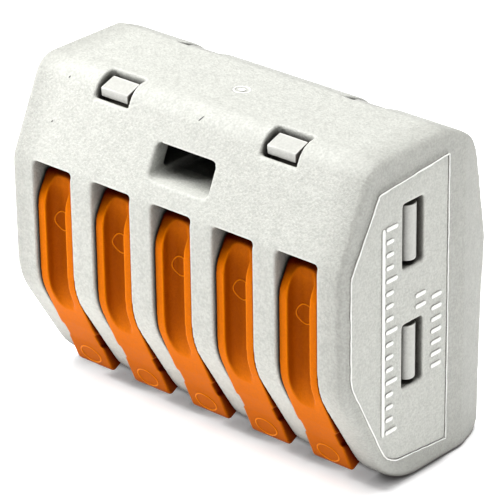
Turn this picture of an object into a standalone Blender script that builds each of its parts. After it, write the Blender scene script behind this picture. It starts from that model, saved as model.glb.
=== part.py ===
"""Five-pole lever wire connector, standing on its wire-entry end.

X runs along the row of levers, -Y is the lever face, +Z points away from the wire entries.
The origin is the middle of the footprint. Outlines are written in millimetres as (depth, height),
depth measured back from the lever face and height up from the wire-entry end.
"""

from math import cos, hypot, pi, sin, tan

import bmesh
import bpy
from mathutils import Vector

MM = 0.001

# Overall size and poles
POLES = 5
PITCH = 4.8
DEPTH = 14.45
HEIGHT = 21.2
RIM_HALF = 13.0
PANEL_HALF = 13.25
GAP = 0.3
# How far cutters run past the face they open, and joined solids run into each other
PAST = 1.0
OVERLAP = 0.3

# Housing: outer outline corners as (depth, height, corner radius)
OUTER = [
    (2.72, HEIGHT, 1.6),
    (0.0, 15.41, 2.0),
    (0.0, 7.5, 5.0),
    (4.57, 0.0, 4.5),
    (13.7, 0.0, 1.0),
    (13.95, 8.0, 3.0),
    (DEPTH, 12.4, 1.0),
    (12.53, 19.92, 3.9),
    (9.35, HEIGHT, 0.2),
]
# Rim of each end: its reach along X, and how far it eats into the edge that follows each corner
RIM_REACH = 0.45
RIM_WIDTHS = [0.45, 0.45, 0.45, 0.45, 0.45, 0.45, 1.0, 0.65, 0.65]
RIM_STEPS = 4
CHAMFER_RUN = 1.0
CHAMFER_START = 10.9
PANEL = [
    (3.05, 19.42, 0.4),
    (0.57, 15.07, 1.0),
    (0.57, 8.4, 3.0),
    (3.85, 2.0, 2.2),
    (9.3, 1.45, 0.5),
    (9.3, 19.9, 0.15),
]

# Housing: lever chambers and the room behind them
SLOT_WIDTH = 3.1
SLOT_TOP = 15.56
CHAMBER_BACK = 6.4
CHAMBER_TOP = 16.0
FRONT_WALL = 1.3
ROOM_HALF = 12.0
ROOM = [
    (CHAMBER_BACK, -1.0, 0.0),
    (12.5, -1.0, 0.0),
    (12.5, 13.0, 1.0),
    (11.3, 18.2, 0.6),
    (10.2, 20.0, 0.3),
    (3.5, 20.0, 0.2),
    (2.1, 17.0, 0.2),
    (CHAMBER_BACK, 17.0, 0.0),
]

# Housing: openings
PORT_HALF = 2.32
PORT_HEIGHTS = (16.7, 18.8)
PORT_DEPTH = 3.24
PORT_CORNER = 0.35
PORT_WELL_DEPTHS = (3.24, 6.5)
PORT_WELL_HEIGHTS = (16.4, 17.2)
CLIP_X = (5.13, 7.87)
FRONT_CLIP_BACK = 3.86
FRONT_CLIP_BOTTOM = 19.81
CLIP_POCKET_FRONT = 2.4
CLIP_POCKET_BOTTOM = 18.6
BACK_CLIP_FRONT = 9.35
BACK_CLIP_BOTTOM = 19.0
SIDE_DEPTHS = (5.18, 7.08)
SIDE_HEIGHTS = ((6.39, 10.47), (13.99, 18.08))
SIDE_FLOOR = 11.5

# Levers
PIVOT = (3.9, 11.3)
LEVER_WIDTH = 2.9
TRUNNION_RADIUS = 0.8
TRUNNION_LENGTH = 0.35
SOCKET_RADIUS = 0.95
SOCKET_DEPTH = 0.45
LEVER = [
    (3.27, 0.95, 0.3),
    (2.37, 3.05, 0.15),
    (1.6, 4.5, 1.5),
    (0.22, 7.55, 4.0),
    (0.22, 13.2, 2.0),
    (1.15, 14.8, 0.6),
    (4.9, 14.8, 1.0),
    (6.4, 12.6, 1.5),
    (6.4, 9.0, 1.8),
    (3.6, 8.3, 1.2),
    (2.35, 7.3, 1.5),
    (4.84, 1.8, 0.35),
]
CHANNEL_WIDTH = 1.65
CHANNEL_FLOOR = 1.03
CHANNEL_FILLET = 0.5
CHANNEL_HEIGHTS = (4.6, 16.0)
NOTCH_HEIGHTS = (3.05, 4.1)
NOTCH_DEPTHS = (-1.0, 5.5)
NOTCH_REACH = 0.16

# Insert
INSERT_HALF = 11.65
INSERT_DEPTHS = (6.75, 12.2)
BASE_TOP = 3.0
FUNNEL_BLOCK_FRONT = 8.6
FUNNEL_BLOCK_TOP = 5.4
FUNNEL_CENTRE = 10.55
FUNNEL_MOUTH = (3.5, 3.0)
FUNNEL_BORE = 2.7
FUNNEL_THROAT = 2.4
FUNNEL_LIP = 0.3
TONGUE_HALF = 1.25
TONGUE_FRONT = 5.4
TONGUE_HEIGHTS = (0.6, 5.7)
CHEEK_THICKNESS = 0.45
CHEEK_BACK = [(12.2, 12.7), (10.95, 18.0)]
BRIDGE = (18.6, 19.65)
BRIDGE_BACK = 9.9
HOOK_RECESS = 0.35
HOOK_ROOT = 6.95
HOOK_UNDERSIDE = 18.9
HOOK_NECK = 2.75
FRONT_TAB_BOTTOM = 19.92
FRONT_TAB = [(2.47, FRONT_TAB_BOTTOM), (2.43, 20.5), (3.56, HEIGHT - 0.3)]
BACK_HOOK_HEEL = 12.0
BACK_TAB = [(11.85, 19.7), (11.2, 20.2), (10.4, 20.7)]
SEPARATOR_HALF = 0.4
SEPARATOR_FRONT = 7.3
SEPARATOR_TOP = 9.4
LATCH_BACK = 11.8
LATCH_RADIUS = 0.62
LATCH_CENTRE = (12.5, 6.2)
LATCH_STEPS = 12
ARM_DEPTHS = (6.45, 6.85)

# Current bar and clamp springs
BAR_DEPTHS = (8.2, 9.0)
BAR_HEIGHTS = (7.2, 13.0)
BAR_HALF = 10.5
BAR_BEVEL = 0.1
STRIP = 0.3
SPRING_HALF = 1.2
SPRING_PATH = [
    (7.9, 7.6, 0.0),
    (7.9, 13.0, 1.2),
    (8.6, 14.6, 0.7),
    (7.75, 15.7, 0.6),
    (6.85, 14.6, 0.9),
    (6.85, 6.2, 0.5),
    (9.55, 6.2, 0.0),
]
TONGUE_WINDOW = (7.5, 9.15)
TONGUE_WINDOW_HEIGHTS = (5.5, 6.9)
TONGUE_WINDOW_HALF = 0.85

COLOURS = {
    "grey_plastic": ((0.62, 0.62, 0.59), 0.55, 0.0),
    "grey_insert": ((0.55, 0.55, 0.53), 0.5, 0.0),
    "orange_plastic": ((0.83, 0.24, 0.01), 0.35, 0.0),
    "spring_steel": ((0.6, 0.6, 0.62), 0.3, 1.0),
    "tinned_copper": ((0.75, 0.72, 0.68), 0.35, 1.0),
}


def clear_scene():
    for obj in list(bpy.data.objects):
        bpy.data.objects.remove(obj, do_unlink=True)


def make_material(name):
    """A plain material with the part's colour, roughness and metallic value."""
    colour, roughness, metallic = COLOURS[name]
    material = bpy.data.materials.new(name)
    material.use_nodes = True
    shader = material.node_tree.nodes["Principled BSDF"]
    shader.inputs["Base Color"].default_value = (*colour, 1.0)
    shader.inputs["Roughness"].default_value = roughness
    shader.inputs["Metallic"].default_value = metallic
    return material


def pole_x(pole):
    return (pole - (POLES - 1) / 2) * PITCH


def filleted(corners, step=pi / 24):
    """The outline through the corners (u, v, radius), each rounded by an arc of its radius."""
    points = []
    for index, (u, v, radius) in enumerate(corners):
        corner = Vector((u, v))
        if radius == 0:
            points.append(corner)
            continue
        before = Vector(corners[index - 1][:2]) - corner
        after = Vector(corners[(index + 1) % len(corners)][:2]) - corner
        turn = pi - before.angle(after)
        reach = radius * tan(turn / 2)
        start = corner + before.normalized() * reach
        middle = corner + (before.normalized() + after.normalized()).normalized() * hypot(reach, radius)
        spoke = start - middle
        side = 1 if before.cross(after) < 0 else -1
        count = max(2, round(turn / step))
        for k in range(count + 1):
            angle = side * turn * k / count
            points.append(middle + Vector((spoke.x * cos(angle) - spoke.y * sin(angle),
                                           spoke.x * sin(angle) + spoke.y * cos(angle))))
    return points


def add_object(name, mesh_data):
    mesh = bpy.data.meshes.new(name)
    bmesh.ops.recalc_face_normals(mesh_data, faces=mesh_data.faces)
    mesh_data.to_mesh(mesh)
    mesh_data.free()
    obj = bpy.data.objects.new(name, mesh)
    bpy.context.collection.objects.link(obj)
    return obj


def place(x, depth, height):
    """A point of the object in metres."""
    return Vector((x * MM, (depth - DEPTH / 2) * MM, height * MM))


def prism(name, outline, x_range):
    """A solid with the (depth, height) outline, running along X between the two values."""
    shape = bmesh.new()
    low, high = x_range
    ring = [shape.verts.new(place(low, u, v)) for u, v in outline]
    face = shape.faces.new(ring)
    grown = bmesh.ops.extrude_face_region(shape, geom=[face])
    moved = [item for item in grown["geom"] if isinstance(item, bmesh.types.BMVert)]
    bmesh.ops.translate(shape, verts=moved, vec=(MM * (high - low), 0, 0))
    return add_object(name, shape)


def box(name, x_range, depths, heights):
    (front, back), (low, high) = depths, heights
    return prism(name, [(front, low), (back, low), (back, high), (front, high)], x_range)


def stack(name, rings):
    """A closed solid through rings of points in order, all rings with the same count."""
    shape = bmesh.new()
    loops = [[shape.verts.new(point) for point in ring] for ring in rings]
    count = len(loops[0])
    for lower, upper in zip(loops, loops[1:]):
        for k in range(count):
            following = (k + 1) % count
            shape.faces.new((lower[k], lower[following], upper[following], upper[k]))
    shape.faces.new(loops[0][::-1])
    shape.faces.new(loops[-1])
    return add_object(name, shape)


def cylinder_x(name, centre, radius, x_range, sides=16):
    ring = [(centre[0] + radius * cos(2 * pi * k / sides), centre[1] + radius * sin(2 * pi * k / sides))
            for k in range(sides)]
    return prism(name, ring, x_range)


def combine(target, tool, operation):
    """Joins the tool to the target, or cuts it away, and removes the tool."""
    modifier = target.modifiers.new(operation, "BOOLEAN")
    modifier.object = tool
    modifier.operation = operation
    modifier.solver = "EXACT"
    graph = bpy.context.evaluated_depsgraph_get()
    result = bpy.data.meshes.new_from_object(target.evaluated_get(graph))
    target.modifiers.clear()
    old = target.data
    target.data = result
    bpy.data.meshes.remove(old)
    bpy.data.objects.remove(tool, do_unlink=True)


def cut(target, tool):
    combine(target, tool, "DIFFERENCE")


def join(target, tool):
    combine(target, tool, "UNION")


def finish(obj, material, sharp=pi / 7):
    """Welds leftover points, shades round faces smooth and gives the object its material."""
    shape = bmesh.new()
    shape.from_mesh(obj.data)
    bmesh.ops.remove_doubles(shape, verts=shape.verts, dist=1e-7)
    bmesh.ops.dissolve_limit(shape, angle_limit=1e-3, verts=shape.verts, edges=shape.edges)
    bmesh.ops.triangulate(shape, faces=shape.faces)
    shape.to_mesh(obj.data)
    shape.free()
    obj.data.materials.clear()
    obj.data.materials.append(material)
    obj.data.shade_smooth()
    obj.data.set_sharp_from_angle(angle=sharp)


def inset(corners, widths):
    """The corners of the convex outline with each edge moved inwards by its width, given in edge order."""
    moved = []
    for index, (u, v, radius) in enumerate(corners):
        corner = Vector((u, v))
        before = (corner - Vector(corners[index - 1][:2])).normalized()
        after = (Vector(corners[(index + 1) % len(corners)][:2]) - corner).normalized()
        into_before = Vector((-before.y, before.x)) * widths[index - 1]
        normal = Vector((-after.y, after.x))
        into_after = normal * widths[index]
        along = (into_after - into_before).dot(normal) / before.dot(normal)
        corner += into_before + before * along
        width = (widths[index - 1] + widths[index]) / 2
        moved.append((corner.x, corner.y, max(radius - width, radius / 3)))
    return moved


def rim_rings(side):
    """Rings of the housing's rounded end, from the flat of the end to the full outline."""
    rings = []
    for k in range(RIM_STEPS + 1):
        angle = pi / 2 * k / RIM_STEPS
        x = side * (RIM_HALF - RIM_REACH * (1 - cos(angle)))
        outline = filleted(inset(OUTER, [width * (1 - sin(angle)) for width in RIM_WIDTHS]))
        rings.append([place(x, u, v) for u, v in outline])
    return rings


def make_housing_body():
    """The outer form: the outline along X with soft rims, chamfered corners and a panel on each end."""
    body = stack("housing", rim_rings(-1) + rim_rings(1)[::-1])
    for side in (-1, 1):
        slant = CHAMFER_RUN / (OUTER[5][0] - CHAMFER_START)
        far = DEPTH + PAST
        corner = [(side * RIM_HALF, CHAMFER_START), (side * (RIM_HALF + PAST), CHAMFER_START),
                  (side * (RIM_HALF + PAST), far), (side * (RIM_HALF - slant * (far - CHAMFER_START)), far)]
        levels = (-PAST, HEIGHT + PAST)
        cut(body, stack("corner", [[place(x, u, height) for x, u in corner] for height in levels]))
        join(body, prism("panel", filleted(PANEL), sorted((side * (RIM_HALF - OVERLAP), side * PANEL_HALF))))
    return body


def carve_chambers(body):
    """The room for the insert, and a slot with trunnion sockets for each lever."""
    cut(body, prism("room", filleted(ROOM), (-ROOM_HALF, ROOM_HALF)))
    for pole in range(POLES):
        x = pole_x(pole)
        sides = (x - SLOT_WIDTH / 2, x + SLOT_WIDTH / 2)
        back = CHAMBER_BACK + OVERLAP
        outline = [(-PAST, -PAST), (back, -PAST), (back, CHAMBER_TOP),
                   (FRONT_WALL, CHAMBER_TOP), (FRONT_WALL, SLOT_TOP), (-PAST, SLOT_TOP)]
        cut(body, prism("slot", outline, sides))
        reach = SLOT_WIDTH / 2 + SOCKET_DEPTH
        cut(body, cylinder_x("socket", PIVOT, SOCKET_RADIUS, (x - reach, x + reach)))


def carve_windows(body):
    """The test port, the latch windows on the top edges and the windows in both ends."""
    low, high = PORT_HEIGHTS
    mouth = filleted([(-PORT_HALF, low, PORT_CORNER), (PORT_HALF, low, PORT_CORNER),
                      (PORT_HALF, high, PORT_CORNER), (-PORT_HALF, high, PORT_CORNER)], step=pi / 8)
    ends = (-PAST, PORT_DEPTH)
    cut(body, stack("port", [[place(x, depth, height) for x, height in mouth] for depth in ends]))
    cut(body, box("port_well", (-PORT_HALF, PORT_HALF), PORT_WELL_DEPTHS, PORT_WELL_HEIGHTS))
    for side in (-1, 1):
        across = sorted((side * CLIP_X[0], side * CLIP_X[1]))
        cut(body, box("front_clip", across, (-PAST, FRONT_CLIP_BACK), (FRONT_CLIP_BOTTOM, HEIGHT + PAST)))
        cut(body, box("front_pocket", across, (CLIP_POCKET_FRONT, FRONT_CLIP_BACK),
                      (CLIP_POCKET_BOTTOM, FRONT_CLIP_BOTTOM + OVERLAP)))
        cut(body, box("back_clip", across, (BACK_CLIP_FRONT, DEPTH + PAST),
                      (BACK_CLIP_BOTTOM, HEIGHT + PAST)))
        for heights in SIDE_HEIGHTS:
            ends = sorted((side * SIDE_FLOOR, side * (PANEL_HALF + PAST)))
            cut(body, box("side_window", ends, SIDE_DEPTHS, heights))


def make_housing(material):
    body = make_housing_body()
    carve_chambers(body)
    carve_windows(body)
    finish(body, material)


def funnel(x):
    """The cutter of one wire entry: a soft rectangular mouth that narrows to a round bore."""
    def ring(width, depth, power, height, sides=24):
        points = []
        for k in range(sides):
            angle = 2 * pi * (k + 0.5) / sides
            c, s = cos(angle), sin(angle)
            points.append(place(x + width / 2 * abs(c) ** power * (1 if c > 0 else -1),
                                FUNNEL_CENTRE + depth / 2 * abs(s) ** power * (1 if s > 0 else -1), height))
        return points
    mouth = ring(*FUNNEL_MOUTH, 0.5, -PAST)
    lip = ring(*FUNNEL_MOUTH, 0.5, FUNNEL_LIP)
    throat = ring(FUNNEL_BORE, FUNNEL_BORE, 1.0, FUNNEL_THROAT)
    end = ring(FUNNEL_BORE, FUNNEL_BORE, 1.0, FUNNEL_BLOCK_TOP + PAST)
    return stack("funnel", [mouth, lip, throat, end])


def side_latch(side, heights):
    """A bar with a half-round front that fills one side window, on a short arm from the insert's cheek."""
    x, depth = LATCH_CENTRE
    ring = [(LATCH_BACK, depth - LATCH_RADIUS), (LATCH_BACK, depth + LATCH_RADIUS)]
    for k in range(LATCH_STEPS + 1):
        angle = pi / 2 - pi * k / LATCH_STEPS
        ring.append((x + LATCH_RADIUS * cos(angle), depth + LATCH_RADIUS * sin(angle)))
    low, high = heights[0] + GAP, heights[1] - GAP
    bar = stack("latch", [[place(side * u, v, height) for u, v in ring] for height in (low, high)])
    ends = sorted((side * (INSERT_HALF - CHEEK_THICKNESS / 2), side * x))
    join(bar, box("arm", ends, ARM_DEPTHS, (low, high)))
    return bar


def make_insert(material):
    half, (front, back) = INSERT_HALF, INSERT_DEPTHS
    body = box("insert", (-half, half), (front, back), (0, BASE_TOP))
    join(body, box("block", (-half, half), (FUNNEL_BLOCK_FRONT, back), (0, FUNNEL_BLOCK_TOP)))
    foot = BASE_TOP - OVERLAP
    cheek = [(front, foot), (back, foot), *CHEEK_BACK, (BRIDGE_BACK, BRIDGE[1]), (front, BRIDGE[1])]
    for side in (-1, 1):
        join(body, prism("cheek", cheek, sorted((side * half, side * (half - CHEEK_THICKNESS)))))
    join(body, box("bridge", (-half, half), (front, BRIDGE_BACK), BRIDGE))
    for pole in range(POLES):
        x = pole_x(pole)
        across = (x - TONGUE_HALF, x + TONGUE_HALF)
        join(body, box("tongue", across, (TONGUE_FRONT, front + OVERLAP), TONGUE_HEIGHTS))
        cut(body, funnel(x))
    for pole in range(POLES - 1):
        x = pole_x(pole) + PITCH / 2
        join(body, separator(x))
    for side in (-1, 1):
        for heights in SIDE_HEIGHTS:
            join(body, side_latch(side, heights))
        across = sorted((side * (CLIP_X[0] + GAP), side * (CLIP_X[1] - GAP)))
        join(body, prism("front_hook", front_hook(), across))
        join(body, prism("back_hook", back_hook(), across))
    finish(body, material)


def separator(x):
    """A wall between two poles, notched to seat the current bar."""
    seat = BAR_HEIGHTS[0] - GAP
    foot = BASE_TOP - OVERLAP
    outline = [(SEPARATOR_FRONT, foot), (INSERT_DEPTHS[1], foot),
               (INSERT_DEPTHS[1], SEPARATOR_TOP), (BAR_DEPTHS[1] + GAP, SEPARATOR_TOP),
               (BAR_DEPTHS[1] + GAP, seat), (BAR_DEPTHS[0] - GAP, seat),
               (BAR_DEPTHS[0] - GAP, SEPARATOR_TOP), (SEPARATOR_FRONT, SEPARATOR_TOP)]
    return prism("separator", outline, (x - SEPARATOR_HALF, x + SEPARATOR_HALF))


def front_hook():
    """Outline of a snap tab in a front window: its top slopes forward and its nose is upright."""
    return [
        (HOOK_ROOT, BRIDGE[1]),
        (HOOK_ROOT, HOOK_UNDERSIDE),
        (HOOK_NECK, HOOK_UNDERSIDE),
        (HOOK_NECK, FRONT_TAB_BOTTOM),
        *FRONT_TAB,
        (FRONT_CLIP_BACK - GAP, BRIDGE[1]),
    ]


def back_hook():
    low = BACK_CLIP_BOTTOM + GAP
    front = BACK_CLIP_FRONT + GAP
    return [(front, low), (BACK_HOOK_HEEL, low), *BACK_TAB, (front, HEIGHT - HOOK_RECESS)]


def channel(x):
    """The cutter of a lever's long front channel, with a filleted floor."""
    half = CHANNEL_WIDTH / 2
    outline = filleted([(x + half, -PAST, 0), (x + half, CHANNEL_FLOOR, CHANNEL_FILLET),
                        (x - half, CHANNEL_FLOOR, CHANNEL_FILLET), (x - half, -PAST, 0)], step=pi / 12)
    return stack("channel", [[place(u, depth, height) for u, depth in outline] for height in CHANNEL_HEIGHTS])


def make_lever(pole, material):
    x = pole_x(pole)
    half = LEVER_WIDTH / 2
    body = prism(f"lever_{pole + 1}", filleted(LEVER), (x - half, x + half))
    reach = half + TRUNNION_LENGTH
    join(body, cylinder_x("trunnions", PIVOT, TRUNNION_RADIUS, (x - reach, x + reach)))
    cut(body, channel(x))
    for side in (-1, 1):
        ends = sorted((x + side * (half - NOTCH_REACH), x + side * (half + PAST)))
        cut(body, box("notch", ends, NOTCH_DEPTHS, NOTCH_HEIGHTS))
    finish(body, material)
    move_origin(body, place(x, *PIVOT))


def move_origin(obj, point):
    """Puts the object's origin on the point without moving its shape."""
    for vertex in obj.data.vertices:
        vertex.co -= point
    obj.location = point


def strip_outline(path, thickness):
    """The outline of a bent strip of this thickness whose middle follows the path."""
    left, right = [], []
    for index, point in enumerate(path):
        before = (point - path[index - 1]).normalized() if index else None
        after = (path[index + 1] - point).normalized() if index < len(path) - 1 else None
        if before and after:
            along = (before + after).normalized()
            stretch = thickness / 2 / max(0.5, along.dot(after))
        else:
            along = before or after
            stretch = thickness / 2
        across = Vector((-along.y, along.x)) * stretch
        left.append(point + across)
        right.append(point - across)
    return left + right[::-1]


def make_spring(pole, material):
    x = pole_x(pole)
    path = filleted(SPRING_PATH, step=pi / 6)
    body = prism(f"clamp_spring_{pole + 1}", strip_outline(path, STRIP), (x - SPRING_HALF, x + SPRING_HALF))
    across = (x - TONGUE_WINDOW_HALF, x + TONGUE_WINDOW_HALF)
    cut(body, box("window", across, TONGUE_WINDOW, TONGUE_WINDOW_HEIGHTS))
    finish(body, material)


def make_bar(material):
    body = box("current_bar", (-BAR_HALF, BAR_HALF), BAR_DEPTHS, BAR_HEIGHTS)
    shape = bmesh.new()
    shape.from_mesh(body.data)
    bmesh.ops.bevel(shape, geom=shape.edges, offset=BAR_BEVEL * MM, segments=1, affect="EDGES")
    shape.to_mesh(body.data)
    shape.free()
    finish(body, material)


def main():
    clear_scene()
    materials = {name: make_material(name) for name in COLOURS}
    make_housing(materials["grey_plastic"])
    make_insert(materials["grey_insert"])
    make_bar(materials["tinned_copper"])
    for pole in range(POLES):
        make_lever(pole, materials["orange_plastic"])
        make_spring(pole, materials["spring_steel"])


main()
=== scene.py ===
"""Looks of the five-pole lever wire connector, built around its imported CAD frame.

The row frame has X along the row of levers, -Y out of the lever face and +Z up. Sizes on the object are
written in millimetres and turned into metres with MM. A place on the object is written as x, depth back
from the lever face and height above the floor. Lights, floor and camera clipping are in metres.
"""
from math import atan2, cos, pi, radians, sin, tan
from random import Random

import bmesh
import bpy
from mathutils import Matrix, Vector


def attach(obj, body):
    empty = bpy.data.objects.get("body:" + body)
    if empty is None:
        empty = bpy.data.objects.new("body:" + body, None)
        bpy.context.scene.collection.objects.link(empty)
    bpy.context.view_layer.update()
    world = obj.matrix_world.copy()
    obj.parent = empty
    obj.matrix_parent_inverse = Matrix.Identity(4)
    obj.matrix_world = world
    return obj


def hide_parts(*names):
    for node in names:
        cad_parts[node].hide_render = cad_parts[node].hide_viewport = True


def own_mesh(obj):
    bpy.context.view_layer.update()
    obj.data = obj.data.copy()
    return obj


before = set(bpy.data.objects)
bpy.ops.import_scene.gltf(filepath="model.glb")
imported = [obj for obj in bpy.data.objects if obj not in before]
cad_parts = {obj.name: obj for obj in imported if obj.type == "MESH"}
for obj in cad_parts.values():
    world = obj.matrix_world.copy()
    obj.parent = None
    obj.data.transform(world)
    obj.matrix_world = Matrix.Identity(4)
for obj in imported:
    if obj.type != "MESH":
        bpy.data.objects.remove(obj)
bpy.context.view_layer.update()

MM = 0.001
RIGHT, BACK, UP = Vector((1, 0, 0)), Vector((0, 1, 0)), Vector((0, 0, 1))

# The object's depth and height, and its row of poles
DEPTH = 14.45
HEIGHT = 21.2
POLES = 5
MIDDLE_POLE = 3
PITCH = 4.8

# Camera: the point it looks at, and where it stands from there
AIM = Vector((0.17, -0.47, 10.67)) * MM
AZIMUTH = radians(41.93)
ELEVATION = radians(25.74)
ROLL = radians(-0.786)
DISTANCE = 195.5 * MM
LENS = 236.2
CLIP_NEAR, CLIP_FAR = 0.005, 10.0

# Softboxes as (name, place, side, power), the point they face, and the plain glow of the studio
SOFTBOXES = [
    ("top_softbox", (-0.01, -0.02, 0.3), 0.2, 1.43),
    ("left_softbox", (-0.08, -0.045, 0.06), 0.02, 0.08),
    ("right_softbox", (0.16, 0.03, 0.01), 0.06, 0.1),
]
LIT_POINT = Vector((0, 0, 0.01))
WORLD_GLOW = 0.08
WHITE = (1.0, 1.0, 1.0)

# Floor: half its side, how far it lies under the object, its glow and colour in the open, and the colour of
# its painted contact shadow, where the object stands less than FLOOR_REACH millimetres above it
FLOOR_HALF = 3.0
FLOOR_DROP = -0.01 * MM
FLOOR_GLOW = 0.45
FLOOR_COLOUR = (0.93, 0.93, 0.93)
FLOOR_SHADE = (0.12, 0.07, 0.07)
FLOOR_REACH = 1.8

# Plastic: noise cells per millimetre, and how far the shader looks for edges, paled for wear and painted
# highlight, and for contact, darkened as painted shade
FINE_CELLS = 7.0
BROAD_CELLS = 1.6
BROAD_WEIGHT = 0.35
PIT_CELLS = 6.0
FLECK_CELLS = 0.42
EDGE_REACH = 0.16
CONTACT_REACH = 0.35
AO_SAMPLES = 6
FLOOR_AO_SAMPLES = 8

# Metal: noise cells per millimetre along and across the rolling lines and in the tarnish, and their depth
CELLS_ALONG = 0.7
CELLS_ACROSS = 9.0
TARNISH_CELLS = 0.9
LINE_DEPTH = 0.004

# Painted shade, darkening towards both ends of the housing and towards the levers' tips: none up to the
# first distance in millimetres along the axis, the whole amount from the second on, and none past end
HOUSING_END_SHADE = {"axis": "X", "shade_starts": 10.6, "shade_full": 12.7, "end": 13.03, "amount": 0.22}
LEVER_TIP_SHADE = {"axis": "Z", "shade_starts": 6.5, "shade_full": 2.0, "end": 99.0, "amount": 0.32}

# Meshes: points nearer than MERGE join, faces flatter than FLAT join, cutting boxes reach PAST the surface
MERGE = 0.002 * MM
FLAT = radians(0.6)
PAST = 1

# Softened mouldings as (cell, rounds of smoothing, share of faces kept), rounded ones as (width, least
# angle in degrees). A face has to be ROOM widths across for the edges round it to be rounded.
HOUSING_SOFTNESS = (0.1, 4, 0.12)
LEVER_SOFTNESS = (0.07, 5, 0.3)
INSERT_ROUNDING = (0.06, 35)
SPRING_ROUNDING = (0.05, 50)
BAR_ROUNDING = (0.06, 30)
ROOM = 2.2
BEVEL_SEGMENTS = 2
NORMAL_WEIGHT = 60

# Raised panel on each end: corners as (depth, height, corner radius)
PANEL_HALF = 13.25
PANEL_SINK = 0.08
PANEL = [(3.05, 19.42, 0.4), (0.57, 15.07, 1.0), (0.57, 8.4, 3.0), (3.85, 2.0, 2.2), (9.3, 1.45, 0.1),
         (9.3, 19.9, 0.15)]
CORNER_STEPS = 5
LEAST_RADIUS = 0.05
# Strip behind the panel
RIM_HALF = 13.0
STRIP_START = 9.42
STRIP_SINK = 0.09

# Bead of flash round each panel
BURR_RADIUS = 0.06
BURR_THINNEST = 0.65
BURR_INSET = 0.04
BURR_WANDER = 0.02
BURR_SPACING = 0.4
BURR_SEED = 7

# Strip gauge on each panel: its spine and its ticks, every fourth of them long
GAUGE_DEPTH = 3.42
GAUGE_LOW, GAUGE_HIGH = 4.0, 17.2
GAUGE_TICKS = 17
LONG_TICK_EVERY = 4
LONG_TICK, SHORT_TICK = 1.05, 0.7
TICK_START = 0.2
# Plain dashes beside the gauge as (depth, height)
DASHES = [(8.2, 6.85 + 0.75 * n) for n in range(7)] + [(6.75, 11.25), (6.75, 11.95)]
DASH_LENGTH = 0.95
# Section of every mark: its foot is in the sunk panel, its top just under the CAD panel's face
MARK_WIDTH = 0.27
MARK_FOOT = PANEL_HALF - PANEL_SINK - 0.05
MARK_TOP = PANEL_HALF - 0.005
MARK_BEVEL_HEIGHT, MARK_BEVEL = 0.02, 0.03
MARK_END_POINTS = 6

# Gate mark on the top face as (x, depth): a round pit with a ring, and the sprue's broken nub in it with
# its section as (height over the top face, radius)
GATE_MARK = (0.13, 6.3)
GATE_RADIUS = 0.62
GATE_DEPTH = 0.07
GATE_SIDES = 24
GATE_RING_RADII = (0.52, 0.46)
GATE_RING_TUBE = 0.065
NUB_SECTION = ((-0.105, 0.2), (-0.025, 0.19), (-0.005, 0.12))
NUB_STRETCH = 1.2
NUB_SIDES = 12

# Nicks in the moulding, each from one place to another, with their section as (part of the way, radius)
NICKS = [((0.22, 2.42, 20.5), (0.46, 2.66, 20.79)), ((-10.55, 1.15, 17.86), (-10.42, 1.22, 17.98)),
         ((-10.15, 2.37, 20.42), (-10.05, 2.47, 20.56))]
NICK_SECTION = ((0.0, 0.01), (0.3, 0.045), (0.65, 0.04), (1.0, 0.01))

# Ejector marks on each lever, from its middle: one in the channel, and one on the finger pad, whose face
# runs between two points (depth, height)
CHANNEL_RING = (-0.1, 1.05, 11.65)
CHANNEL_RING_RADII = (0.6, 0.62)
CHANNEL_RING_TUBE = 0.06
PAD_RING = (0, 2.86, 1.98)
PAD_RING_RADII = (0.8, 0.66)
PAD_RING_TUBE = 0.07
PAD_LOW, PAD_HIGH = (3.27, 0.95), (2.37, 3.05)
RING_TURNS = 40
TUBE_SIDES = 8
# Channel's section: half its flat floor, the radius of its foot, and how far out the foot is followed
CHANNEL_FLAT = 0.325
CHANNEL_FOOT = 0.5
FOOT_FOLLOWED = 0.49


def place(x, depth, height):
    """A point in metres from millimetres along X, back from the lever face and up from the floor."""
    return Vector((x, depth - DEPTH / 2, height)) * MM


def pole_x(pole):
    return (pole - MIDDLE_POLE) * PITCH


def make_camera():
    data = bpy.data.cameras.new("camera")
    data.lens = LENS
    data.clip_start, data.clip_end = CLIP_NEAR, CLIP_FAR
    camera = bpy.data.objects.new("camera", data)
    bpy.context.scene.collection.objects.link(camera)
    outward = Vector((sin(AZIMUTH) * cos(ELEVATION), -cos(AZIMUTH) * cos(ELEVATION), sin(ELEVATION)))
    camera.location = AIM + outward * DISTANCE
    camera.rotation_mode = "QUATERNION"
    roll = Matrix.Rotation(ROLL, 3, "Z").to_quaternion()
    camera.rotation_quaternion = outward.to_track_quat("Z", "Y") @ roll
    bpy.context.scene.camera = camera


# ---------------------------------------------------------------- materials

def new_material(name):
    """A material, its shader's sockets, a helper that adds a node, and one that links two sockets."""
    material = bpy.data.materials.new(name)
    material.use_nodes = True
    tree = material.node_tree

    def add(kind, settings=None, inputs=None):
        node = tree.nodes.new(kind)
        for key, value in (settings or {}).items():
            setattr(node, key, value)
        for key, value in (inputs or {}).items():
            if isinstance(value, bpy.types.NodeSocket):
                tree.links.new(value, node.inputs[key])
            else:
                node.inputs[key].default_value = value
        return node
    return material, tree.nodes["Principled BSDF"].inputs, add, tree.links.new


def tinted(colour, factor=1.0):
    """The colour made darker or paler by the factor, and opaque."""
    return (*(min(1.0, c * factor) for c in colour), 1.0)


def mixed(add, factor, first, second):
    """The colour that runs from first to second as the factor goes from 0 to 1."""
    return add("ShaderNodeMix", {"data_type": "RGBA"}, {0: factor, 6: first, 7: second}).outputs[2]


def ranged(add, value, low, high, to_low=0.0, to_high=1.0):
    """The value's range from low to high turned into another, and clamped to it."""
    return add("ShaderNodeMapRange", None, {"Value": value, "From Min": low, "From Max": high,
                                            "To Min": to_low, "To Max": to_high}).outputs[0]


def product(add, first, second):
    return add("ShaderNodeMath", {"operation": "MULTIPLY"}, {0: first, 1: second}).outputs[0]


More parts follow.
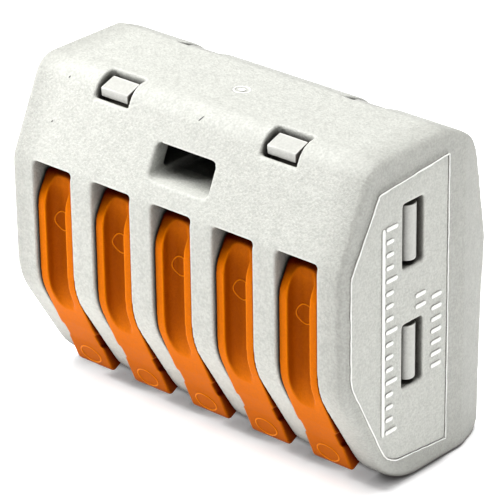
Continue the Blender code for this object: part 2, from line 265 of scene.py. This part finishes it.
def object_spot(add, cells=(1, 1, 1)):
    """The place on the object in millimetres, times the cells per millimetre along each axis."""
    spot = add("ShaderNodeTexCoord").outputs["Object"]
    scale = [count / MM for count in cells]
    return add("ShaderNodeVectorMath", {"operation": "MULTIPLY"}, {0: spot, 1: scale}).outputs[0]


def noise(add, spot, cells, detail, **inputs):
    return add("ShaderNodeTexNoise", None, {"Vector": spot, "Scale": cells, "Detail": detail,
                                            **inputs}).outputs["Fac"]


def openness(add, reach, samples=AO_SAMPLES, **settings):
    """From 0 in a crevice to 1 in the open, as far as surfaces within reach millimetres hide the sky."""
    return add("ShaderNodeAmbientOcclusion", {"samples": samples, **settings},
               {"Distance": reach * MM}).outputs["AO"]


def bumped(add, height, strength, depth):
    return add("ShaderNodeBump", None, {"Height": height, "Strength": strength,
                                        "Distance": depth * MM}).outputs[0]


def with_axis_shade(add, spot, base, shade, axis, shade_starts, shade_full, end, amount):
    """The base with painted shade that grows from the first distance to the second off the axis's zero, up to
    end.
    """
    parts = add("ShaderNodeSeparateXYZ", None, {"Vector": spot})
    away = add("ShaderNodeMath", {"operation": "ABSOLUTE"}, {0: parts.outputs[axis]}).outputs[0]
    painted_shade = ranged(add, away, shade_starts, shade_full, 0.0, amount)
    before_end = ranged(add, away, end, end + 0.1, 1.0, 0.0)
    return mixed(add, product(add, painted_shade, before_end), base, tinted(shade))


def flecked(add, spot, base, colour):
    """The base with a small dark speck in a few of its cells."""
    cells = add("ShaderNodeTexVoronoi", None, {"Vector": spot, "Scale": FLECK_CELLS})
    chosen = ranged(add, cells.outputs["Color"], 0.78, 0.8)
    dot = ranged(add, cells.outputs["Distance"], 0.022, 0.04, 1.0, 0.0)
    return mixed(add, product(add, dot, chosen), base, tinted(colour, 0.25))


def plastic(name, colour, shade, edge_wear_and_highlight, roughness, grain, gloss=0.5, vary=0.06, reach=1.6, air=(0.12, 0.72),
            deep_reach=None, axis_shade=None, flecks=False):
    """Moulded plastic: spark-eroded grain, slight colour variation, pale edges that are partly wear and
    partly painted highlight, and painted shade in crevices.

    Surfaces within reach outside darken the colour towards shade as painted shade, over the range of openness
    in air. Those within deep_reach darken it further, as painted shade for cavities.
    """
    material, sockets, add, link = new_material(name)
    spot = object_spot(add)
    fine = noise(add, spot, FINE_CELLS, 2.0)
    broad = noise(add, spot, BROAD_CELLS, 3.0)
    tone = add("ShaderNodeMath", {"operation": "MULTIPLY_ADD"},
               {0: broad, 1: BROAD_WEIGHT, 2: fine}).outputs[0]
    base = mixed(add, ranged(add, tone, 0.5, 0.85), tinted(colour, 1 - vary), tinted(colour, 1 + vary))
    # Pale edges, partly wear and partly painted highlight: where the part's own surface is close all round,
    # seen from inside
    edge = openness(add, EDGE_REACH, inside=True, only_local=True)
    base = mixed(add, ranged(add, edge, 0.5, 0.97, 1.0, 0.0), base, tinted(edge_wear_and_highlight))
    # Painted shade in crevices, deep cavities and along lines of contact: where something stands close
    # outside
    base = mixed(add, ranged(add, openness(add, reach), *air), tinted(shade), base)
    if deep_reach:
        base = mixed(add, ranged(add, openness(add, deep_reach), 0.02, 0.42), tinted(shade, 0.25), base)
    contact_shade = ranged(add, openness(add, CONTACT_REACH), 0.3, 0.85, 0.75, 0.0)
    base = mixed(add, contact_shade, base, tinted(shade, 0.6))
    # Painted shade that grows along one axis, towards the housing's ends and the levers' tips
    if axis_shade:
        base = with_axis_shade(add, spot, base, shade, **axis_shade)
    if flecks:
        base = flecked(add, spot, base, colour)
    link(base, sockets["Base Color"])
    link(ranged(add, fine, 0.3, 0.7, roughness - 0.07, roughness + 0.07), sockets["Roughness"])
    pits = noise(add, spot, PIT_CELLS, 3.0, Roughness=0.65)
    link(bumped(add, pits, 1.0, grain), sockets["Normal"])
    sockets["Specular IOR Level"].default_value = gloss
    return material


def metal(name, colour, roughness, along):
    """Rolled metal strip: fine lines along the rolling axis, given by its number, and slight tarnish."""
    material, sockets, add, link = new_material(name)
    cells = [CELLS_ALONG if axis == along else CELLS_ACROSS for axis in range(3)]
    lines = noise(add, object_spot(add, cells), 1.0, 4.0)
    tarnish = noise(add, object_spot(add, [TARNISH_CELLS] * 3), 1.0, 3.0)
    base = mixed(add, ranged(add, lines, 0.3, 0.7), tinted(colour, 0.8), tinted(colour))
    base = mixed(add, ranged(add, tarnish, 0.5, 0.75, 0.0, 0.5), base, tinted(colour, 0.62))
    link(base, sockets["Base Color"])
    sockets["Metallic"].default_value = 1.0
    link(ranged(add, lines, 0.3, 0.7, roughness - 0.08, roughness + 0.12), sockets["Roughness"])
    link(bumped(add, lines, 0.7, LINE_DEPTH), sockets["Normal"])
    return material


# ---------------------------------------------------------------- mesh helpers

def add_piece(name, shape):
    mesh = bpy.data.meshes.new(name)
    shape.to_mesh(mesh)
    shape.free()
    piece = bpy.data.objects.new(name, mesh)
    bpy.context.scene.collection.objects.link(piece)
    return piece


def whole_faces(mesh):
    """A bmesh of the mesh, its flat faces whole again instead of triangles."""
    shape = bmesh.new()
    shape.from_mesh(mesh)
    bmesh.ops.remove_doubles(shape, verts=shape.verts, dist=MERGE)
    bmesh.ops.dissolve_limit(shape, angle_limit=FLAT, verts=shape.verts, edges=shape.edges)
    return shape


def clean_copy(node, name):
    """A new piece with the CAD node's shape."""
    return add_piece(name, whole_faces(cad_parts[node].data))


def angles(count):
    """Evenly spread angles, once round."""
    return [2 * pi * k / count for k in range(count)]


def turned(direction):
    """The flat direction turned left by a quarter."""
    return Vector((-direction.y, direction.x))


def filleted(corners, inset):
    """Points of an outline with round corners, moved inwards.

    Corners are (u, v, radius), in turning order.
    """
    turn = sum(a[0] * b[1] - b[0] * a[1] for a, b in zip(corners, corners[1:] + corners[:1]))
    side = 1 if turn > 0 else -1
    flat = [Vector(corner[:2]) for corner in corners]
    ahead = [(there - here).normalized() for here, there in zip(flat, flat[1:] + flat[:1])]
    points = []
    for k, (u, v, radius) in enumerate(corners):
        before, after = ahead[k - 1], ahead[k]
        inward = (turned(before) + turned(after)) * side
        inward /= 1 + before.dot(after)
        corner = Vector((u, v)) + inward * inset
        bend = before.angle_signed(after)
        convex = bend * -side > 0
        radius = max(radius - inset, LEAST_RADIUS) if convex else radius + inset
        start = corner - before * radius * tan(abs(bend) / 2)
        centre = start + turned(before) * radius * (1 if bend < 0 else -1)
        first = atan2(start.y - centre.y, start.x - centre.x)
        for n in range(CORNER_STEPS + 1):
            a = first - bend * n / CORNER_STEPS
            points.append((centre.x + radius * cos(a), centre.y + radius * sin(a)))
    return points


def skin(shape, rings, endless=False):
    """Faces between rings of points in order, all with the same count, and over the first and last ring.

    Endless rings have the last joined to the first instead.
    """
    rings = [[shape.verts.new(point) for point in ring] for ring in rings]
    count = len(rings[0])
    ahead = rings[1:] + rings[:1] if endless else rings[1:]
    for here, there in zip(rings, ahead):
        for k in range(count):
            following = (k + 1) % count
            shape.faces.new((here[k], here[following], there[following], there[k]))
    if not endless:
        shape.faces.new(rings[0][::-1])
        shape.faces.new(rings[-1])


def stack(name, rings):
    """A closed solid through rings of points."""
    shape = bmesh.new()
    skin(shape, rings)
    bmesh.ops.recalc_face_normals(shape, faces=shape.faces)
    return add_piece(name, shape)


def box(name, x_range, depths, heights):
    low, high = heights
    corners = [(depths[0], low), (depths[1], low), (depths[1], high), (depths[0], high)]
    return stack(name, [[place(x, *corner) for corner in corners] for x in x_range])


def bake(piece):
    """Applies the piece's modifiers to its mesh."""
    graph = bpy.context.evaluated_depsgraph_get()
    result = bpy.data.meshes.new_from_object(piece.evaluated_get(graph))
    piece.modifiers.clear()
    old = piece.data
    piece.data = result
    bpy.data.meshes.remove(old)


def cut(piece, tool):
    """Takes the tool's shape out of the piece, and removes the tool."""
    modifier = piece.modifiers.new("cut", "BOOLEAN")
    modifier.object = tool
    modifier.operation = "DIFFERENCE"
    modifier.solver = "EXACT"
    bake(piece)
    bpy.data.objects.remove(tool, do_unlink=True)


def soften(piece, cell, rounds, share):
    """Rounds a whole moulding: a mesh of even cells, smoothed by rounds and thinned out to a share."""
    remesh = piece.modifiers.new("remesh", "REMESH")
    remesh.mode = "VOXEL"
    remesh.voxel_size = cell * MM
    smooth = piece.modifiers.new("smooth", "SMOOTH")
    smooth.factor = 0.5
    smooth.iterations = rounds
    thin = piece.modifiers.new("thin", "DECIMATE")
    thin.ratio = share
    bake(piece)
    piece.data.shade_smooth()


def round_edges(piece, width, sharp):
    """Rounds the edges over the sharp angle by the width, but not where a face beside them is narrow."""
    shape = whole_faces(piece.data)
    weight = shape.edges.layers.float.new("bevel_weight_edge")
    for edge in shape.edges:
        if edge.calc_face_angle(0) > radians(sharp):
            room = min(2 * face.calc_area() / face.calc_perimeter() for face in edge.link_faces) / MM
            edge[weight] = 1.0 if room > ROOM * width else 0.0
    shape.to_mesh(piece.data)
    shape.free()
    bevel = piece.modifiers.new("round", "BEVEL")
    bevel.width = width * MM
    bevel.segments = BEVEL_SEGMENTS
    bevel.limit_method = "WEIGHT"
    bevel.use_clamp_overlap = False
    bevel.loop_slide = False
    bake(piece)
    piece.data.shade_smooth()
    weighted = piece.modifiers.new("normals", "WEIGHTED_NORMAL")
    weighted.keep_sharp = False
    weighted.weight = NORMAL_WEIGHT
    bake(piece)


def oval_ring(shape, centre, across, along, normal, radii, tube, lift=lambda offset: 0.0):
    """Adds a thin oval ring round the centre, lying in the plane of the two directions.

    lift gives how far each point stands off that plane, from its place across it.
    """
    rings = []
    for a in angles(RING_TURNS):
        spoke = across * cos(a) * radii[0] + along * sin(a) * radii[1]
        outward = spoke.normalized()
        middle = spoke + normal * lift(cos(a) * radii[0])
        rings.append([centre + (middle + (outward * cos(b) + normal * sin(b)) * tube) * MM
                      for b in angles(TUBE_SIDES)])
    skin(shape, rings, endless=True)


def dress(piece, body, slot, material, *nodes):
    """Gives the piece its material and the body it rides on, and hides the CAD nodes it stands for; the slot
    is not used.
    """
    piece.data.materials.clear()
    piece.data.materials.append(material)
    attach(piece, body)
    if nodes:
        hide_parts(*nodes)


def add_detail(name, shape, body, slot, material, smooth=True):
    """Makes the shape a piece that stands for no CAD node."""
    bmesh.ops.recalc_face_normals(shape, faces=shape.faces)
    piece = add_piece(name, shape)
    if smooth:
        piece.data.shade_smooth()
    dress(piece, body, slot, material)


# ---------------------------------------------------------------- pieces

def make_housing(material):
    """The moulded shell. Its end panels and the strips behind them are sunk under their raised details."""
    piece = clean_copy("housing", "housing_shell")
    for side in (-1, 1):
        for half, sink, front in ((PANEL_HALF, PANEL_SINK, -PAST), (RIM_HALF, STRIP_SINK, STRIP_START)):
            ends = (side * (half - sink), side * (half + PAST))
            cut(piece, box("end_cut", ends, (front, DEPTH + PAST), (-PAST, HEIGHT + PAST)))
    rim = [place(GATE_MARK[0] + GATE_RADIUS * cos(a), GATE_MARK[1] + GATE_RADIUS * sin(a), 0)
           for a in angles(GATE_SIDES)]
    pit = [[point + Vector((0, 0, height * MM)) for point in rim]
           for height in (HEIGHT - GATE_DEPTH, HEIGHT + PAST)]
    cut(piece, stack("gate_cut", pit))
    soften(piece, *HOUSING_SOFTNESS)
    dress(piece, "shell", "grey_plastic", material, "housing")


def add_mark(shape, side, depth, height, length, upright=False):
    """Adds a raised bar with round ends and a bevelled top to the end panel on one side."""
    along, across = (UP, BACK) if upright else (BACK, UP)
    rings = []
    for level, shrink in ((MARK_FOOT, 0.0), (MARK_TOP - MARK_BEVEL_HEIGHT, 0.0), (MARK_TOP, MARK_BEVEL)):
        centre = place(side * level, depth, height)
        radius = MARK_WIDTH / 2 - shrink
        ring = []
        for end in (1, -1):
            for k in range(MARK_END_POINTS):
                a = -pi / 2 + pi * k / (MARK_END_POINTS - 1)
                reach = (length - MARK_WIDTH) / 2 + radius * cos(a)
                ring.append(centre + (along * end * reach + across * end * radius * sin(a)) * MM)
        rings.append(ring)
    skin(shape, rings)


def make_panel_marks(material):
    """A generic raised strip gauge on each end panel, with a few plain dashes beside it."""
    first_tick = GAUGE_LOW + MARK_WIDTH / 2
    tick_span = GAUGE_HIGH - GAUGE_LOW - MARK_WIDTH
    for side, label in ((-1, "left"), (1, "right")):
        shape = bmesh.new()
        spine = GAUGE_HIGH - GAUGE_LOW
        add_mark(shape, side, GAUGE_DEPTH, (GAUGE_LOW + GAUGE_HIGH) / 2, spine, upright=True)
        for tick in range(GAUGE_TICKS):
            length = SHORT_TICK if tick % LONG_TICK_EVERY else LONG_TICK
            height = first_tick + tick_span * tick / (GAUGE_TICKS - 1)
            add_mark(shape, side, GAUGE_DEPTH + TICK_START + length / 2, height, length)
        for depth, height in DASHES:
            add_mark(shape, side, depth, height, DASH_LENGTH)
        add_detail(f"panel_gauge_{label}", shape, "shell", "grey_plastic", material, smooth=False)


def make_panel_burrs(material):
    """The thin uneven bead of flash that runs round each end panel."""
    wander = Random(BURR_SEED)
    for side, label in ((-1, "left"), (1, "right")):
        path = []
        outline = [Vector(point) for point in filleted(PANEL, BURR_INSET)]
        for here, there in zip(outline, outline[1:] + outline[:1]):
            count = max(1, round((there - here).length / BURR_SPACING))
            path += [here.lerp(there, n / count) for n in range(count)]
        rings = []
        for k, point in enumerate(path):
            along = (path[(k + 1) % len(path)] - path[k - 1]).normalized()
            across = Vector((0, along.y, -along.x))
            radius = BURR_RADIUS * wander.uniform(BURR_THINNEST, 1.0)
            point = point + across.yz * wander.uniform(-BURR_WANDER, BURR_WANDER)
            centre = place(side * (PANEL_HALF - BURR_RADIUS), *point)
            rings.append([centre + (across * cos(a) + RIGHT * sin(a)) * radius * MM
                          for a in angles(TUBE_SIDES)])
        shape = bmesh.new()
        skin(shape, rings, endless=True)
        add_detail(f"panel_flash_{label}", shape, "shell", "grey_plastic", material)


def make_gate_nub(material):
    """The small broken-off sprue point in the gate mark on the top face, and the ring round it."""
    shape = bmesh.new()
    skin(shape, [[place(GATE_MARK[0] + radius * cos(a) * NUB_STRETCH, GATE_MARK[1] + radius * sin(a),
                        HEIGHT + height) for a in angles(NUB_SIDES)] for height, radius in NUB_SECTION])
    oval_ring(shape, place(*GATE_MARK, HEIGHT - GATE_DEPTH), RIGHT, BACK, UP, GATE_RING_RADII, GATE_RING_TUBE)
    add_detail("gate_nub", shape, "shell", "grey_plastic", material, smooth=False)


def make_nicks(material):
    """Small dark nicks in the moulding, where the real part is marked by handling."""
    shape = bmesh.new()
    for start, end in NICKS:
        start, end = place(*start), place(*end)
        across = (end - start).cross(BACK - UP).normalized()
        upward = across.cross(end - start).normalized()
        skin(shape, [[start.lerp(end, part) + (across * cos(a) + upward * sin(a)) * radius * MM
                      for a in angles(TUBE_SIDES)] for part, radius in NICK_SECTION])
    add_detail("housing_nicks", shape, "shell", "grey_plastic", material)


def make_insert(material):
    piece = clean_copy("insert", "insert_carrier")
    round_edges(piece, *INSERT_ROUNDING)
    dress(piece, "shell", "grey_insert", material, "insert")


def make_levers(material):
    """The five levers, each a copy of the middle one."""
    middle = clean_copy(f"lever_{MIDDLE_POLE}", f"lever_{MIDDLE_POLE}_body")
    soften(middle, *LEVER_SOFTNESS)
    for pole in range(1, POLES + 1):
        piece = middle
        if pole != MIDDLE_POLE:
            piece = bpy.data.objects.new(f"lever_{pole}_body", middle.data.copy())
            bpy.context.scene.collection.objects.link(piece)
            piece.data.transform(Matrix.Translation((pole_x(pole) * MM, 0, 0)))
        dress(piece, f"lever_{pole}", "orange_plastic", material, f"lever_{pole}")


def channel_rise(offset):
    """How far the rounded foot of the lever's channel stands above its floor, beside the ring's centre."""
    up_foot = max(0.0, abs(offset + CHANNEL_RING[0]) - CHANNEL_FLAT)
    return CHANNEL_FOOT - (CHANNEL_FOOT ** 2 - min(up_foot, FOOT_FOLLOWED) ** 2) ** 0.5


def make_lever_rings(material):
    """The round ejector witness marks on each lever: one in the channel and one on the finger pad."""
    slope = (Vector((0, *PAD_LOW)) - Vector((0, *PAD_HIGH))).normalized()
    pad_normal = Vector((0, slope.z, -slope.y))
    for pole in range(1, POLES + 1):
        middle = RIGHT * pole_x(pole) * MM
        shape = bmesh.new()
        oval_ring(shape, middle + place(*CHANNEL_RING), RIGHT, UP, -BACK, CHANNEL_RING_RADII,
                  CHANNEL_RING_TUBE, channel_rise)
        oval_ring(shape, middle + place(*PAD_RING), RIGHT, slope, pad_normal, PAD_RING_RADII, PAD_RING_TUBE)
        add_detail(f"lever_{pole}_ring_marks", shape, f"lever_{pole}", "orange_plastic", material)


def make_springs(material):
    for pole in range(1, POLES + 1):
        piece = clean_copy(f"clamp_spring_{pole}", f"spring_{pole}_strip")
        round_edges(piece, *SPRING_ROUNDING)
        dress(piece, "shell", "spring_steel", material, f"clamp_spring_{pole}")
        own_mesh(piece)


def make_bar(material):
    piece = clean_copy("current_bar", "current_bar_strip")
    round_edges(piece, *BAR_ROUNDING)
    dress(piece, "shell", "tinned_copper", material, "current_bar")


# ---------------------------------------------------------------- stage

def area_light(name, where, side, power):
    data = bpy.data.lights.new(name, "AREA")
    data.shape = "RECTANGLE"
    data.size = data.size_y = side
    data.energy = power
    light = bpy.data.objects.new(name, data)
    light.location = Vector(where)
    light.rotation_mode = "QUATERNION"
    light.rotation_quaternion = (Vector(where) - LIT_POINT).to_track_quat("Z", "Y")
    bpy.context.scene.collection.objects.link(light)


def floor_material():
    """White that glows a little, with a painted contact shadow: dark and without glow where something stands
    right above it.
    """
    material, sockets, add, link = new_material("floor_white")
    above = openness(add, FLOOR_REACH, FLOOR_AO_SAMPLES)
    link(mixed(add, ranged(add, above, 0.1, 0.55), tinted(FLOOR_SHADE), tinted(FLOOR_COLOUR)),
         sockets["Base Color"])
    link(ranged(add, above, 0.15, 0.65, 0.0, FLOOR_GLOW), sockets["Emission Strength"])
    sockets["Roughness"].default_value = 0.7
    sockets["Emission Color"].default_value = tinted(WHITE)
    return material


def make_stage():
    mesh = bpy.data.meshes.new("floor")
    corners = [(x * FLOOR_HALF, y * FLOOR_HALF, FLOOR_DROP) for x, y in ((-1, -1), (1, -1), (1, 1), (-1, 1))]
    mesh.from_pydata(corners, [], [(0, 1, 2, 3)])
    mesh.materials.append(floor_material())
    floor = bpy.data.objects.new("floor", mesh)
    bpy.context.scene.collection.objects.link(floor)
    world = bpy.data.worlds.new("world")
    world.use_nodes = True
    background = world.node_tree.nodes["Background"]
    background.inputs["Color"].default_value = tinted(WHITE)
    background.inputs["Strength"].default_value = WORLD_GLOW
    bpy.context.scene.world = world
    for softbox in SOFTBOXES:
        area_light(*softbox)
    bpy.context.scene.view_settings.view_transform = "Standard"


def main():
    make_camera()
    # In these plastics, shade, reach, air and deep_reach set the painted shade in crevices and cavities, and
    # the pale edge colour is partly wear and partly painted highlight
    grained_grey = plastic("grey_plastic_grained", colour=(0.47, 0.475, 0.44), shade=(0.06, 0.052, 0.043),
                           edge_wear_and_highlight=(0.72, 0.72, 0.68), roughness=0.55, grain=0.06, gloss=0.35, vary=0.12,
                           reach=2.2, air=(0.15, 0.66), deep_reach=7.0, axis_shade=HOUSING_END_SHADE, flecks=True)
    # A paler copy of the housing grey: painted highlight on the raised marks, the flash bead and the gate nub
    highlit_smooth_grey = plastic("grey_plastic_smooth_highlit", colour=(0.66, 0.66, 0.63), shade=(0.2, 0.19, 0.17),
                          edge_wear_and_highlight=(0.8, 0.8, 0.77), roughness=0.4, grain=0.004, reach=0.5)
    nick_grey = plastic("grey_plastic_nick", colour=(0.07, 0.06, 0.05), shade=(0.03, 0.03, 0.03),
                        edge_wear_and_highlight=(0.1, 0.1, 0.1), roughness=0.7, grain=0.01)
    insert_grey = plastic("grey_insert_smooth", colour=(0.46, 0.46, 0.43), shade=(0.06, 0.052, 0.043),
                          edge_wear_and_highlight=(0.6, 0.6, 0.57), roughness=0.36, grain=0.008, reach=1.5, air=(0.2, 0.85))
    orange = plastic("orange_plastic_moulded", colour=(0.58, 0.13, 0.0), shade=(0.07, 0.0, 0.0),
                     edge_wear_and_highlight=(0.76, 0.215, 0.0), roughness=0.45, grain=0.01, gloss=0.02, air=(0.46, 1.0),
                     axis_shade=LEVER_TIP_SHADE)
    # A lighter copy of the lever orange: painted highlight on the ejector ring marks
    highlit_ring_orange = plastic("orange_plastic_ring_highlit", colour=(0.64, 0.155, 0.0), shade=(0.25, 0.03, 0.0),
                          edge_wear_and_highlight=(0.68, 0.18, 0.0), roughness=0.4, grain=0.003, gloss=0.04, reach=0.7)
    make_housing(grained_grey)
    make_panel_marks(highlit_smooth_grey)
    make_panel_burrs(highlit_smooth_grey)
    make_gate_nub(highlit_smooth_grey)
    make_nicks(nick_grey)
    make_insert(insert_grey)
    make_levers(orange)
    make_lever_rings(highlit_ring_orange)
    make_springs(metal("spring_steel_rolled", (0.66, 0.67, 0.69), 0.3, 2))
    make_bar(metal("tinned_copper_soft", (0.76, 0.74, 0.7), 0.38, 0))
    make_stage()


main()
